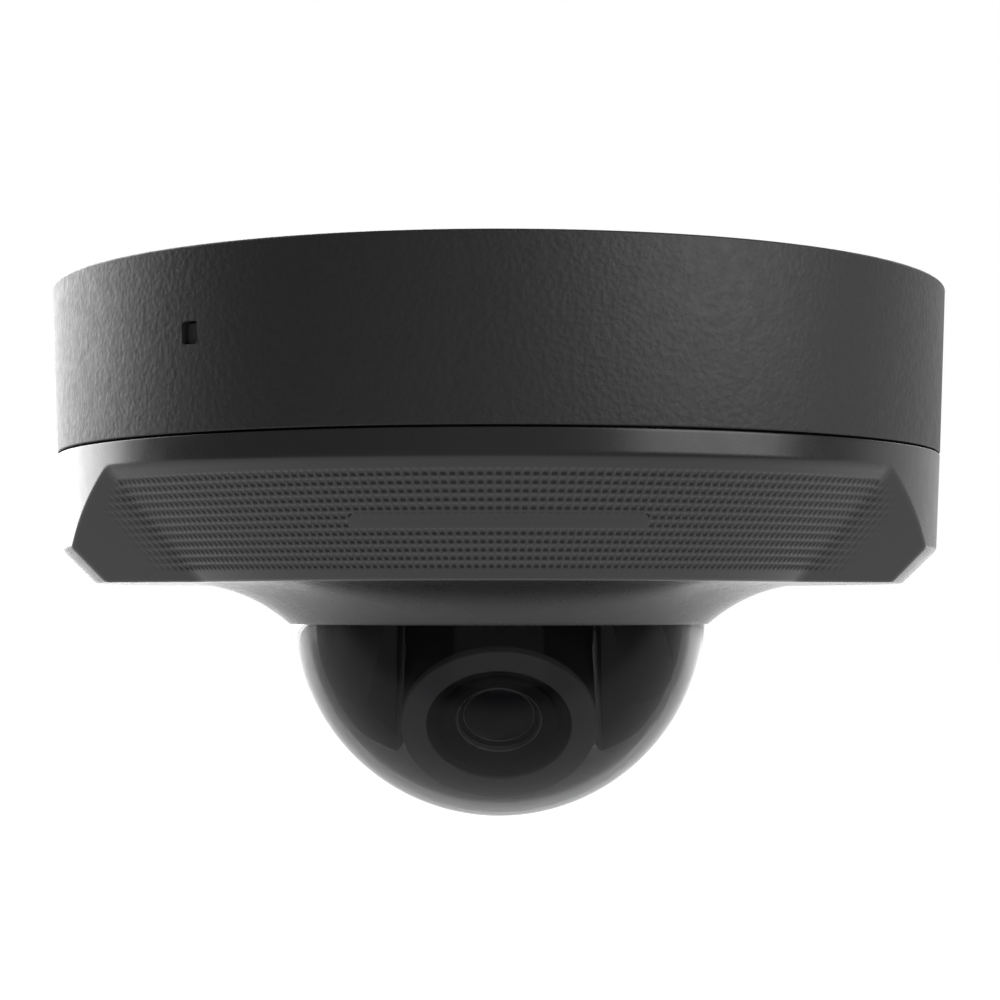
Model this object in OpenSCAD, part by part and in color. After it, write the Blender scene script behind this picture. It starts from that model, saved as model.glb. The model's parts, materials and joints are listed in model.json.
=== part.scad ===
// Ceiling dome camera. The ceiling plane is z = 0 and the camera hangs below it.
// The front, where the lens looks, faces -Y, and depths are counted down from the ceiling.

/* [Upper ring] */
// Radius of the upper ring at the ceiling
ring_top_r = 62.5; // [61.9:0.1:63.5]
// Radius of the upper ring at the seam
ring_seam_r = 61.63; // [61.4:0.01:61.8]
// Depth of the seam between ring and cover
seam_depth = 22.73; // [22.5:0.01:23]
// Width of the dark line at the seam
seam_gap = 0.24; // [0.1:0.02:0.4]
// Direction of the tool hole, in degrees from the front
tool_hole_azimuth = -37; // [-41:1:-33]
// Depth of the middle of the tool hole
tool_hole_depth = 10.56; // [10.3:0.02:10.7]
// Width of the tool hole
tool_hole_w = 2.6; // [2.4:0.1:3]
// Height of the tool hole
tool_hole_h = 2.8; // [2.6:0.1:3]

/* [Cover] */
// Radius of the cover where the low chamfer starts
cover_low_r = 61; // [60.7:0.1:61.3]
// Depth where the low chamfer starts
chamfer_depth = 35.9; // [35.5:0.1:36.2]
// Depth of the flat underside
underside_depth = 40.45; // [40.3:0.05:40.6]
// Radius where the low chamfer meets the underside
underside_r = 56.34; // [55.8:0.1:56.8]
// Depth of the front panel's upper edge
panel_top_depth = 26.15; // [25.8:0.05:26.5]
// Radius of the front panel's lower edge
panel_low_r = 47.8; // [47.4:0.1:48.2]
// Direction of the crease where the panel meets a facet, in degrees from the front
crease_azimuth = 53.6; // [52.5:0.1:54.5]
// Direction that a facet faces, in degrees from the front
facet_azimuth = 26.9; // [25.5:0.1:28]
// Wall thickness of the cover
cover_wall = 2.2; // [2:0.1:2.4]

/* [Dome] */
// Outer radius of the dome
dome_r = 29.13; // [29:0.01:29.2]
// Wall thickness of the dome
dome_wall = 1.83; // [1.6:0.01:1.85]
// Depth of the dome's centre
dome_depth = 44.03; // [43.9:0.01:44.15]

/* [Eye] */
// Angle of the optical axis below the horizon
eye_tilt = 40; // [25:1:60]
// Radius of the round front of the eye
eye_r = 12.9; // [12.6:0.05:12.95]
// Distance from the dome's centre to the front of the eye
eye_reach = 23; // [22.6:0.05:23.05]
// Distance that the tilt pivots lie below the dome's centre
pivot_drop = 0.6; // [0:0.1:0.6]

/* [Mounting] */
// Diameter of the circle that the ceiling screws lie on
ceiling_pcd = 84; // [78:1:88]
// Radius of each ceiling screw hole
ceiling_hole_r = 2.2; // [1.8:0.1:2.6]
// Radius of the cable hole in the grommet
cable_hole_r = 3.1; // [2.6:0.1:3.4]

/* [Hidden] */
$fn = 96;
cut = 1;
// Far enough to pass every part
far = 200;

// Upper ring: inside radius, and the deck that parts the cable room from the electronics
ring_inner_r = 59.3;
ring_bottom = seam_depth - seam_gap / 2;
ring_lip = 0.25;
deck_top = 12.4;
deck_bottom = 14.2;
tool_hole_corner = 0.5;

// Mounting plate
plate_r = 54;
plate_t = 2;
grommet_r = 10;
grommet_lip_r = 11.5;
grommet_lip_t = 0.8;
grommet_rim_bottom = 3.4;
grommet_sleeve_t = 2;
grommet_bottom = 5;
hook_angles = [60, 180, 300];
hook_half_angle = 12;
hook_foot_r = 58;
hook_leg_r = 51;
hook_foot_top = 4.6;
hook_foot_bottom = 6;
tab_inner_r = 55;
tab_top = 2.6;
tab_bottom = 4.3;
bolt_angles = [45, 135, 225, 315];

// Latch, in its own frame: +x is outward along the tool hole
latch_angle = tool_hole_azimuth - 90;
latch_inner = 51;
latch_outer = 59;
latch_half_w = 2.5;
latch_top = 8.2;
latch_bottom = 12.1;
latch_fit = 0.2;
nose_tip = 61.2;
nose_play = 0.4;
nose_w = tool_hole_w - nose_play;
nose_h = tool_hole_h - nose_play;
tooth_inner = 55;
tooth_outer = 57.2;
tooth_top = 5;
tooth_y = [0.3 - latch_half_w, latch_half_w];
// How far joined solids reach into each other
overlap = 0.5;
rail_inner = 47.5;
rail_outer = 58.6;
rail_t = 1.5;
rail_top = 8.6;
post_inner = 44.4;
post_outer = 46;
stop_inner = 50;
stop_outer = 56.9;
stop_bottom = 7.5;
stop_far_y = 4.2;
spring_r = 1.5;
spring_wire_r = 0.3;
spring_turns = 5;
spring_end_gap = 0.4;
spring_steps = 14;
spring_sides = 6;

// Cover: spigot inside the ring, and inner faces
cover_top = seam_depth + seam_gap / 2;
cover_top_r = 61.6;
spigot_top = 19.3;
spigot_r = 58.9;
spigot_inner_r = 56.6;
seal_groove_r = 57.9;
seal_groove_top = 20;
seal_groove_bottom = 21.6;
seal_play = 0.1;
seal_top = seal_groove_top + seal_play;
seal_bottom = seal_groove_bottom - seal_play;
cavity_r = 58.6;
cavity_step = [24.5, 26.5];
panel_top_r = cover_top_r - (cover_top_r - cover_low_r) * (panel_top_depth - cover_top) / (chamfer_depth - cover_top);
panel_drop = underside_depth - panel_top_depth;
panel_run = panel_top_r - panel_low_r;
// Steepness of a facet, so that it holds the straight crease line
facet_dip = atan(panel_run * cos(crease_azimuth - facet_azimuth) / panel_drop);
facet_side_x = 30;
facet_rear_y = -20;
// The flare down to the dome is an arc that starts level with the underside
flare_start_r = 44.2;
flare_r = 21.8;
collar_r = 29.58;
opening_r = 29.35;
collar_depth = underside_depth + flare_r - sqrt(pow(flare_r, 2) - pow(flare_start_r - collar_r, 2));
floor_depth = underside_depth - cover_wall;
seat_r = 34.2;
seat_depth = 41.2;
boss_r = 3.8;
boss_top = 14.4;
cover_screw_angles = [30, 150, 210, 330];
cover_screw_ring = 53;
cover_screw_r = 1.25;
cover_head_r = 2.9;
cover_head_t = 2;
screw_play = 0.06;
screw_tip = 23.8;
tip_play = 0.6;
small_head_r = 1.9;
small_head_t = 1.4;

// Dome flange and the ring that clamps it
dome_inner_r = dome_r - dome_wall;
flange_r = 34;
flange_top = 38.3;
flange_bottom = 40.3;
gasket_inner_r = 29.9;
gasket_play = 0.05;
retainer_inner_r = 28.2;
retainer_outer_r = 40;
retainer_t = 2;
retainer_bottom = floor_depth - gasket_play;
retainer_screw_ring = 37.2;
retainer_screw_r = 1;
retainer_screw_tip = 40.6;
retainer_hole_end = 40.8;
dome_gasket_r = 33.8;

// Main board and what is on it
board_top = 15.6;
board_t = 1.6;
board_bottom = board_top + board_t;
board_r = 46;
board_hole_r = 12;
board_screw_angles = [20, 160, 200, 340];
board_screw_ring = 42;
board_screw_r = 0.95;
board_screw_tip = 13.4;
board_boss_r = 3;
pilot_top = 13.2;
socket_w = 16;
socket_play = 0.3;
socket_y = [22, 38];
socket_gap_x = [-socket_w / 2 - socket_play, socket_w / 2 + socket_play];
socket_gap_y = [socket_y[0] - socket_play, socket_y[1] + socket_play];
socket_top = 3.4;
mouth_w = 11.8;
mouth_top = 5.3;
mouth_bottom = 12.2;
mouth_end_y = 34;
key_w = 6;
key_top = 3.95;
contact_count = 8;
contact_pitch = 1.02;
contact_w = 0.42;
contact_t = 0.6;
contact_y = [socket_y[0] + 2, mouth_end_y];
processor_place = [-21, -14];
processor_w = 14;
processor_t = 0.9;
pad_w = 13;
memory_angles = [114, 132];
memory_ring = 38;
memory_size = [8, 10, 1.1];
transformer_angle = 60;
transformer_ring = 38.8;
transformer_size = [10, 12, 8.5];
capacitor_angles = [250, 262, 274];
capacitor_ring = 38.5;
capacitor_r = 3.1;
capacitor_h = 7;
connector_y = -15.5;
connector_size = [9, 3, 1.1];
reset_angle = 325;
reset_ring = 38;
switch_w = 6;
switch_h = 3.1;
switch_floor = 1.6;
switch_well_r = 1.8;
reset_button_r = 1.7;
reset_button_span = [2.1, 4.2];

// Card socket, which the memory card slides out of toward -X
card_socket_x = [-45, -31];
card_socket_half_w = 7.4;
card_socket_h = 1.9;
card_slot_x = [-46, -31.6];
card_slot_half_w = 5.7;
card_slot_span = [0.4, 1.5];
card_x = [-46.5, -31.8];
card_half_w = 5.5;
card_span = [0.6, 1.35];
card_notch_x = -34.5;
card_notch_y = 3.6;

// Gimbal
pan_bore_r = 19;
pan_fit = 0.05;
pan_hole_r = 14;
pan_base_r = 31;
pan_base_top = 19;
pan_base_bottom = 21;
pan_post_ring = 29;
pan_post_r = 2.2;
pan_gap = 0.3;
pan_head_t = 1.3;
pan_ring_r = 26.2;
pan_disc_top = pan_base_bottom + pan_gap;
pan_disc_bottom = 24;
pan_hub_top = pan_base_top - pan_gap;
pan_retainer_r = 21.5;
pan_retainer_top = 17.5;
cheek_inner_x = 13.6;
cheek_wall = 2.4;
cheek_front_y = -15;
cheek_back_y = 13;
cheek_skin = 1.8;
cheek_top = dome_depth - pan_disc_bottom;
cheek_roof = 2.5;
// A point on the slanted lower end, and its slope
cheek_low_point = [14.6, -18.6];
cheek_low_slope = 21.4;
// The upper point of the front face's outer edge, and the way the side face turns from it
cheek_edge_point = [15.4, -15, -2.6];
cheek_side_turn = [0, -10, -36.9];
pivot_r = 2.5;
pivot_fit = 0.05;
pivot_boss_r = 4.6;
pivot_boss_x = 18.6;
tick_count = 5;
tick_pitch = 1.1;
tick_depth = 0.3;
tick_h = 0.35;
tick_inset = 1.2;
long_tick = 2;
short_tick = 1.2;
tick_low_z = -12.7;
cheek_screw_x = 20;
cheek_screw_y = 8;
cheek_screw_r = 1;
cheek_head_r = 1.8;
cheek_head_well_r = 2;
cheek_head_seat = pan_disc_top + 1.3;
cheek_screw_tip = pan_disc_bottom + 2;
cheek_screw_land = 0.3;

// Eye, along the optical axis from the dome's centre
carrier_half = 5;
carrier_inner_r = 11.95;
carrier_outer_r = 13.2;
tilt_screw_end = 12.3;
tilt_head_x = 18.9;
tilt_head_r = 3.9;
tilt_head_t = 1.4;
barrel_fit = 0.05;
housing_r = carrier_inner_r - barrel_fit;
housing_rear = -6.2;
shoulder = carrier_half + pan_gap;
window_t = 1.2;
window_back = eye_reach - window_t;
window_inner_r = 9.6;
housing_wall = 1;
cap_rear = -9.5;
cap_r = 12.7;
cap_wall = 1.2;
cap_outlet_r = 2.5;
cap_outlet_y = 5;
baffle_outer_r = 9.5;
baffle_inner_r = 7.95;
baffle_rear = 13;
baffle_front = eye_reach - 0.25;
baffle_low = eye_reach - 1.1;
baffle_rim = 0.5;
light_board_span = [18.8, 19.8];
led_count = 8;
led_ring = 10.7;
led_r = 0.9;
led_front = 21.2;
barrel_r = 7.85;
barrel_front = eye_reach - 0.3;
barrel_bevel = 0.4;
barrel_rear = 13.2;
barrel_wall = 1;
lens_r = 5.65;
lens_curve = 13;
lens_apex = eye_reach - 1.2;
lens_rear = eye_reach - 4.4;
lens_play = 0.1;
lens_seat = eye_reach - 3;
rim_r = lens_r + 0.55;
rim_front = eye_reach - 1;
rim_rear = eye_reach - 1.8;
thread_r = 5.9;
thread_rear = 5;
inner_lens_r = 4.6;
inner_lens_spans = [[14.2, 15.6], [10.4, 12], [6.4, 8.2]];
holder_r = 10.6;
holder_span = [-0.5, 4.5];
holder_front = 11.6;
holder_wall = 1.6;
aperture_r = 3.6;
slot_half_w = 8.3;
slot_play = 0.25;
sensor_window = [10.4, 8.4];
slide_travel = 5.2;
slide_half_h = 3;
slide_span = [1.4, 2.6];
slide_x = [-7.9, 2.7];
pane_r = 2.2;
pane_inset = 0.3;
coil_size = [8, 3.6, 3.2];
coil_y = -8.8;
coil_z = 1.05;
sensor_board_w = 14.8;
sensor_board_t = 1;
sensor_board_rear = -1.6;
sensor_size = [9.2, 7.6, 0.9];
flex_size = [7, 3, 1.2];
flex_y = 3.4;

// Basic solids

module disc(radius, top, bottom) {
    translate([0, 0, -bottom])
        cylinder(r = radius, h = bottom - top);
}

module ring(inner, outer, top, bottom) {
    difference() {
        disc(outer, top, bottom);
        disc(inner, top - cut, bottom + cut);
    }
}

// A stretch of a ring, centred on an angle about Z
module ring_part(inner, outer, top, bottom, middle, half_angle) {
    rotate([0, 0, middle - half_angle])
        rotate_extrude(angle = 2 * half_angle)
            translate([inner, -bottom])
                square([outer - inner, bottom - top]);
}

// A block centred on x and y
module block(size_x, size_y, top, bottom) {
    translate([-size_x / 2, -size_y / 2, -bottom])
        cube([size_x, size_y, bottom - top]);
}

// A block given by its ranges in x and y
module span_block(x, y, top, bottom) {
    translate([x[0], y[0], -bottom])
        cube([x[1] - x[0], y[1] - y[0], bottom - top]);
}

module around(angle, radius) {
    rotate([0, 0, angle])
        translate([radius, 0, 0])
            children();
}

module screw(shank_r, head_r, head_top, seat, tip) {
    disc(head_r, head_top, seat);
    disc(shank_r, seat, tip);
}

// Same screw with its head below
module rising_screw(shank_r, head_r, head_bottom, seat, tip) {
    disc(head_r, seat, head_bottom);
    disc(shank_r, tip, seat);
}

// Rounded bar along +x, open-ended, for the tool hole and the latch's nose
module rounded_bar(width, height, corner, from_x, to_x) {
    length = to_x - from_x;
    translate([from_x, 0, 0])
        rotate([90, 0, 90]) {
            translate([-width / 2 + corner, -height / 2, 0])
                cube([width - 2 * corner, height, length]);
            translate([-width / 2, -height / 2 + corner, 0])
                cube([width, height - 2 * corner, length]);
            for (sx = [-1, 1], sz = [-1, 1])
                translate([sx * (width / 2 - corner), sz * (height / 2 - corner), 0])
                    cylinder(r = corner, h = length, $fn = 32);
        }
}

// Mounting group

module mounting_plate() {
    color("dimgray")
        difference() {
            union() {
                disc(plate_r, 0, plate_t);
                for (angle = hook_angles) {
                    ring_part(hook_leg_r, plate_r, plate_t / 2, hook_foot_bottom, angle, hook_half_angle);
                    ring_part(plate_r - cut, hook_foot_r, hook_foot_top, hook_foot_bottom, angle, hook_half_angle);
                }
                rotate([0, 0, latch_angle]) {
                    span_block([stop_inner, stop_outer], [latch_half_w + latch_fit, stop_far_y], 0, plate_t);
                    span_block([plate_r - cut, stop_outer], [latch_half_w + latch_fit, stop_far_y], 0, stop_bottom);
                }
            }
            disc(grommet_r, -cut, plate_t + cut);
            disc(grommet_lip_r, -cut, grommet_lip_t);
            for (angle = bolt_angles)
                around(angle, ceiling_pcd / 2)
                    disc(ceiling_hole_r, -cut, plate_t + cut);
        }
}

module cable_grommet() {
    rim_r = grommet_lip_r + cut;
    color("black")
        difference() {
            union() {
                disc(grommet_lip_r - gasket_play, gasket_play, grommet_lip_t - gasket_play);
                disc(grommet_r - gasket_play, grommet_lip_t - gasket_play, plate_t + gasket_play);
                disc(rim_r, plate_t + gasket_play, grommet_rim_bottom);
                disc(cable_hole_r + grommet_sleeve_t, grommet_rim_bottom, grommet_bottom);
            }
            disc(cable_hole_r, -cut, grommet_bottom + cut);
        }
}

module base_housing() {
    color("#232323")
        difference() {
            union() {
                rotate_extrude()
                    polygon([
                        [0, -deck_top], [ring_inner_r, -deck_top], [ring_inner_r, 0],
                        [ring_top_r - ring_lip, 0], [ring_top_r, -ring_lip],
                        [ring_seam_r, -ring_bottom + ring_lip], [ring_seam_r - ring_lip, -ring_bottom],
                        [ring_inner_r, -ring_bottom], [ring_inner_r, -deck_bottom], [0, -deck_bottom]
                    ]);
                for (angle = hook_angles)
                    ring_part(tab_inner_r, ring_inner_r + cut, tab_top, tab_bottom, angle, hook_half_angle);
                rotate([0, 0, latch_angle]) {
                    for (side = [-1, 1])
                        translate([0, side * (latch_half_w + latch_fit + rail_t / 2), 0])
                            span_block([rail_inner, rail_outer], [-rail_t / 2, rail_t / 2], rail_top, deck_top + overlap);
                    span_block([post_inner, post_outer], [-latch_half_w, latch_half_w], rail_top, deck_top + overlap);
                }
                for (angle = board_screw_angles)
                    around(angle, board_screw_ring)
                        disc(board_boss_r, deck_bottom - overlap, board_top);
            }
            rotate([0, 0, latch_angle])
                translate([0, 0, -tool_hole_depth])
                    rounded_bar(tool_hole_w, tool_hole_h, tool_hole_corner, latch_outer - 2, ring_top_r + cut);
            span_block(socket_gap_x, socket_gap_y, deck_top - cut, deck_bottom + cut);
            for (angle = cover_screw_angles)
                around(angle, cover_screw_ring)
                    disc(cover_screw_r + screw_play, deck_top - cut, deck_bottom + cut);
            for (angle = board_screw_angles)
                around(angle, board_screw_ring)
                    disc(board_screw_r + screw_play, pilot_top, board_top + cut);
        }
}

// One coil spring along the latch's own axis
module latch_spring() {
    first = post_outer + spring_end_gap;
    last = latch_inner - spring_end_gap;
    count = spring_turns * spring_steps;
    points = [
        for (i = [0 : count], j = [0 : spring_sides - 1])
            let (turn = 360 * i / spring_steps, side = 360 * j / spring_sides, reach = spring_r + spring_wire_r * cos(side))
                [first + (last - first) * i / count + spring_wire_r * sin(side), reach * cos(turn), reach * sin(turn)]
    ];
    walls = [
        for (i = [0 : count - 1], j = [0 : spring_sides - 1])
            let (k = (j + 1) % spring_sides)
                [i * spring_sides + j, i * spring_sides + k, (i + 1) * spring_sides + k, (i + 1) * spring_sides + j]
    ];
    ends = [
        [for (j = [spring_sides - 1 : -1 : 0]) j],
        [for (j = [0 : spring_sides - 1]) count * spring_sides + j]
    ];
    color("silver")
        rotate([0, 0, latch_angle])
            translate([0, 0, -tool_hole_depth])
                polyhedron(points, concat(walls, ends), convexity = 10);
}

module latch_button() {
    color("black")
        rotate([0, 0, latch_angle])
            union() {
                span_block([latch_inner, latch_outer - latch_fit], [-latch_half_w, latch_half_w], latch_top, latch_bottom);
                span_block([tooth_inner, tooth_outer], tooth_y, tooth_top, latch_top + overlap);
                translate([0, 0, -tool_hole_depth])
                    rounded_bar(nose_w, nose_h, tool_hole_corner, latch_outer - cut, nose_tip);
            }
}

// Seal between ring and cover, in a groove of the spigot
module body_gasket() {
    color("black")
        ring(seal_groove_r + seal_play, ring_inner_r - gasket_play, seal_top, seal_bottom);
}

// Cover

// Everything behind the front panel and its two facets, moved inward by inset
module panel_limit(inset) {
    cone_inset = inset * sqrt(pow(panel_run, 2) + pow(panel_drop, 2)) / panel_drop;
    disc(far, 0, panel_top_depth);
    translate([0, 0, -underside_depth])
        cylinder(r1 = panel_low_r - cone_inset, r2 = panel_top_r - cone_inset, h = panel_drop);
    disc(panel_low_r - cone_inset, underside_depth, underside_depth + far);
    translate([-far, facet_rear_y, -far])
        cube([2 * far, far, 2 * far]);
    for (side = [0, 1])
        mirror([side, 0, 0])
            intersection() {
                translate([facet_side_x, -far, -far])
                    cube([far, 2 * far, 2 * far]);
                translate([panel_top_r * sin(crease_azimuth), -panel_top_r * cos(crease_azimuth), -panel_top_depth])
                    rotate([0, facet_dip, facet_azimuth - 90])
                        translate([-far - inset, -far / 2, -far / 2])
                            cube([far, far, far]);
            }
}

module cover_outside() {
    intersection() {
        rotate_extrude()
            union() {
                polygon([
                    [0, -spigot_top], [spigot_r, -spigot_top], [spigot_r, -cover_top],
                    [cover_top_r - ring_lip, -cover_top], [cover_top_r, -cover_top - ring_lip],
                    [cover_low_r, -chamfer_depth], [underside_r, -underside_depth], [0, -underside_depth]
                ]);
                difference() {
                    translate([0, -collar_depth])
                        square([flare_start_r, collar_depth - underside_depth + cut]);
                    translate([flare_start_r, -underside_depth - flare_r])
                        circle(r = flare_r, $fn = 200);
                    translate([-cut, -collar_depth - cut])
                        square([cut, cut]);
                }
            }
        panel_limit(0);
    }
}

module cover_inside() {
    intersection() {
        rotate_extrude()
            polygon([
                [0, 0], [spigot_inner_r, 0], [spigot_inner_r, -cavity_step[0]], [cavity_r, -cavity_step[1]],
                [cavity_r, -chamfer_depth + cut], [underside_r - cover_wall, -floor_depth], [0, -floor_depth]
            ]);
        union() {
            panel_limit(cover_wall);
            disc(far, 0, cavity_step[0]);
        }
    }
}

module cover() {
    color("#1b1b1b")
        difference() {
            union() {
                difference() {
                    cover_outside();
                    difference() {
                        cover_inside();
                        for (angle = cover_screw_angles)
                            around(angle, cover_screw_ring)
                                disc(boss_r, boss_top, underside_depth);
                    }
                }
                intersection() {
                    for (angle = cover_screw_angles)
                        around(angle, cover_screw_ring)
                            disc(boss_r, boss_top, cover_top);
                    disc(spigot_r, 0, far);
                }
            }
            disc(opening_r, 0, collar_depth + cut);
            disc(seat_r, floor_depth - cut, seat_depth);
            ring(seal_groove_r, spigot_r + cut, seal_groove_top, seal_groove_bottom);
            for (angle = cover_screw_angles)
                around(angle, cover_screw_ring)
                    disc(cover_screw_r + screw_play, deck_bottom, screw_tip + tip_play);
            for (angle = bolt_angles)
                around(angle, retainer_screw_ring)
                    disc(retainer_screw_r + screw_play, floor_depth - cut, retainer_hole_end);
        }
}

module cover_screws() {
    color("silver")
        for (angle = cover_screw_angles)
            around(angle, cover_screw_ring)
                screw(cover_screw_r, cover_head_r, deck_top - cover_head_t, deck_top, screw_tip);
}

// Dome group

module dome() {
    color("dimgray", 0.5)
        rotate_extrude()
            union() {
                translate([0, -dome_depth])
                    intersection() {
                        difference() {
                            circle(r = dome_r, $fn = 200);
                            circle(r = dome_inner_r, $fn = 200);
                        }
                        translate([0, -dome_r])
                            square([dome_r, dome_r]);
                    }
                translate([dome_inner_r, -dome_depth])
                    square([dome_wall, dome_depth - flange_top]);
                translate([dome_inner_r, -flange_bottom])
                    square([flange_r - dome_inner_r, flange_bottom - flange_top]);
            }
}

module dome_gasket() {
    color("black")
        ring(gasket_inner_r, dome_gasket_r, flange_bottom + gasket_play, seat_depth);
}

module dome_retainer() {
    color("dimgray")
        difference() {
            ring(retainer_inner_r, retainer_outer_r, retainer_bottom - retainer_t, retainer_bottom);
            for (angle = bolt_angles)
                around(angle, retainer_screw_ring)
                    disc(retainer_screw_r + screw_play, retainer_bottom - retainer_t - cut, retainer_bottom + cut);
        }
}

module retainer_screws() {
    seat = retainer_bottom - retainer_t;
    color("silver")
        for (angle = bolt_angles)
            around(angle, retainer_screw_ring)
                screw(retainer_screw_r, small_head_r, seat - small_head_t, seat, retainer_screw_tip);
}

// Electronics

module main_board() {
    color("darkgreen")
        difference() {
            disc(board_r, board_top, board_bottom);
            disc(board_hole_r, 0, far);
            for (angle = board_screw_angles)
                around(angle, board_screw_ring)
                    disc(board_screw_r + screw_play, 0, far);
            for (angle = bolt_angles)
                around(angle, pan_post_ring)
                    disc(board_screw_r + screw_play, 0, far);
        }
}

module board_screws() {
    color("silver")
        for (angle = board_screw_angles)
            around(angle, board_screw_ring)
                rising_screw(board_screw_r, small_head_r, board_bottom + small_head_t, board_bottom, board_screw_tip);
}

module network_socket() {
    color("silver")
        difference() {
            span_block([-socket_w / 2, socket_w / 2], socket_y, socket_top, board_top);
            span_block([-mouth_w / 2, mouth_w / 2], [socket_y[0] - cut, mouth_end_y], mouth_top, mouth_bottom);
            span_block([-key_w / 2, key_w / 2], [socket_y[0] - cut, mouth_end_y], key_top, mouth_top + cut);
        }
}

module socket_contacts() {
    color("gold")
        for (i = [0 : contact_count - 1])
            translate([(i - (contact_count - 1) / 2) * contact_pitch, 0, 0])
                span_block([-contact_w / 2, contact_w / 2], contact_y, mouth_bottom - contact_t, mouth_bottom);
}

module processor() {
    color("#303030")
        translate(processor_place)
            block(processor_w, processor_w, board_top - processor_t, board_top);
}

module thermal_pad() {
    color("lightblue")
        translate(processor_place)
            block(pad_w, pad_w, deck_bottom + gasket_play, board_top - processor_t);
}

module memory_chips() {
    color("#303030")
        for (angle = memory_angles)
            around(angle, memory_ring)
                block(memory_size[0], memory_size[1], board_bottom, board_bottom + memory_size[2]);
}

module power_transformer() {
    color("#3a3a30")
        around(transformer_angle, transformer_ring)
            block(transformer_size[0], transformer_size[1], board_bottom, board_bottom + transformer_size[2]);
}

module capacitors() {
    color("steelblue")
        for (angle = capacitor_angles)
            around(angle, capacitor_ring)
                disc(capacitor_r, board_bottom, board_bottom + capacitor_h);
}

module board_connector() {
    color("ivory")
        translate([0, connector_y, 0])
            block(connector_size[0], connector_size[1], board_top - connector_size[2], board_top);
}

module reset_switch() {
    color("silver")
        around(reset_angle, reset_ring)
            difference() {
                block(switch_w, switch_w, board_bottom, board_bottom + switch_h);
                disc(switch_well_r, board_bottom + switch_floor, board_bottom + switch_h + cut);
            }
}

module reset_button() {
    color("black")
        around(reset_angle, reset_ring)
            disc(reset_button_r, board_bottom + reset_button_span[0], board_bottom + reset_button_span[1]);
}

module card_socket() {
    slot = card_slot_half_w;
    color("silver")
        difference() {
            span_block(card_socket_x, [-card_socket_half_w, card_socket_half_w], board_bottom, board_bottom + card_socket_h);
            span_block(card_slot_x, [-slot, slot], board_bottom + card_slot_span[0], board_bottom + card_slot_span[1]);
        }
}

module memory_card() {
    color("#282828")
        difference() {
            span_block(card_x, [-card_half_w, card_half_w], board_bottom + card_span[0], board_bottom + card_span[1]);
            span_block([card_notch_x, card_x[1] + cut], [card_notch_y, card_half_w + cut], 0, far);
        }
}

// Gimbal

module pan_base() {
    color("#3c3c3c")
        difference() {
            union() {
                disc(pan_base_r, pan_base_top, pan_base_bottom);
                for (angle = bolt_angles)
                    around(angle, pan_post_ring)
                        disc(pan_post_r, board_bottom, pan_base_top + overlap);
            }
            disc(pan_bore_r, pan_base_top - cut, pan_base_bottom + cut);
            for (angle = bolt_angles)
                around(angle, pan_post_ring)
                    disc(board_screw_r + screw_play, board_bottom - cut, pan_base_bottom + cut);
        }
}

module pan_base_screws() {
    head_bottom = pan_base_bottom + pan_head_t;
    color("silver")
        for (angle = bolt_angles)
            around(angle, pan_post_ring)
                rising_screw(board_screw_r, small_head_r, head_bottom, pan_base_bottom, board_top + pan_gap);
}

module pan_ring() {
    color("#3c3c3c")
        difference() {
            union() {
                disc(pan_ring_r, pan_disc_top, pan_disc_bottom);
                disc(pan_bore_r - pan_fit, pan_hub_top, pan_disc_top + overlap);
            }
            disc(pan_hole_r, 0, far);
            for (sx = [-1, 1], sy = [-1, 1])
                translate([sx * cheek_screw_x, sy * cheek_screw_y, 0]) {
                    disc(cheek_screw_r + screw_play, 0, far);
                    disc(cheek_head_well_r, 0, cheek_head_seat);
                }
        }
}

module pan_retainer() {
    color("silver")
        ring(pan_hole_r, pan_retainer_r, pan_retainer_top, pan_hub_top);
}

// The solid that the cheek is cut from, drawn about the dome's centre and grown inward by skin
module cheek_form(radius, inner_x, front_y, back_y, top, skin) {
    difference() {
        intersection() {
            union() {
                sphere(r = radius, $fn = 128);
                cylinder(r = radius, h = top, $fn = 128);
            }
            translate([inner_x, front_y, -radius])
                cube([radius, back_y - front_y, radius + top]);
        }
        translate([cheek_low_point[0], 0, cheek_low_point[1] + skin])
            rotate([0, -cheek_low_slope, 0])
                translate([-radius, -radius, -2 * radius])
                    cube([3 * radius, 2 * radius, 2 * radius]);
        translate(cheek_edge_point)
            rotate(cheek_side_turn)
                translate([-skin, -2 * radius, -2 * radius])
                    cube([2 * radius, 4 * radius, 4 * radius]);
    }
}

// Right cheek about the dome's centre
module cheek() {
    difference() {
        union() {
            difference() {
                cheek_form(pan_ring_r, cheek_inner_x, cheek_front_y, cheek_back_y, cheek_top, 0);
                cheek_form(pan_ring_r - cheek_skin, cheek_inner_x + cheek_wall, cheek_front_y + cheek_wall,
                    cheek_back_y + pan_ring_r, cheek_top - cheek_roof, cheek_skin);
            }
            translate([cheek_inner_x, 0, -pivot_drop])
                rotate([0, 90, 0])
                    cylinder(r = pivot_boss_r, h = pivot_boss_x - cheek_inner_x);
        }
        translate([cheek_inner_x - cut, 0, -pivot_drop])
            rotate([0, 90, 0])
                cylinder(r = pivot_r + pivot_fit, h = pivot_boss_x - cheek_inner_x + 2 * cut);
        for (i = [0 : tick_count - 1])
            translate([cheek_inner_x + tick_inset, cheek_front_y - cut, tick_low_z + i * tick_pitch])
                cube([i % 2 == 0 ? long_tick : short_tick, cut + tick_depth, tick_h]);
        for (sy = [-1, 1])
            translate([cheek_screw_x, sy * cheek_screw_y, cheek_top - cheek_roof + cheek_screw_land])
                cylinder(r = cheek_screw_r + screw_play, h = cheek_roof);
    }
}

module right_cheek() {
    color("#3c3c3c")
        translate([0, 0, -dome_depth])
            cheek();
}

module left_cheek() {
    color("#3c3c3c")
        translate([0, 0, -dome_depth])
            mirror([1, 0, 0])
                cheek();
}

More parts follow.
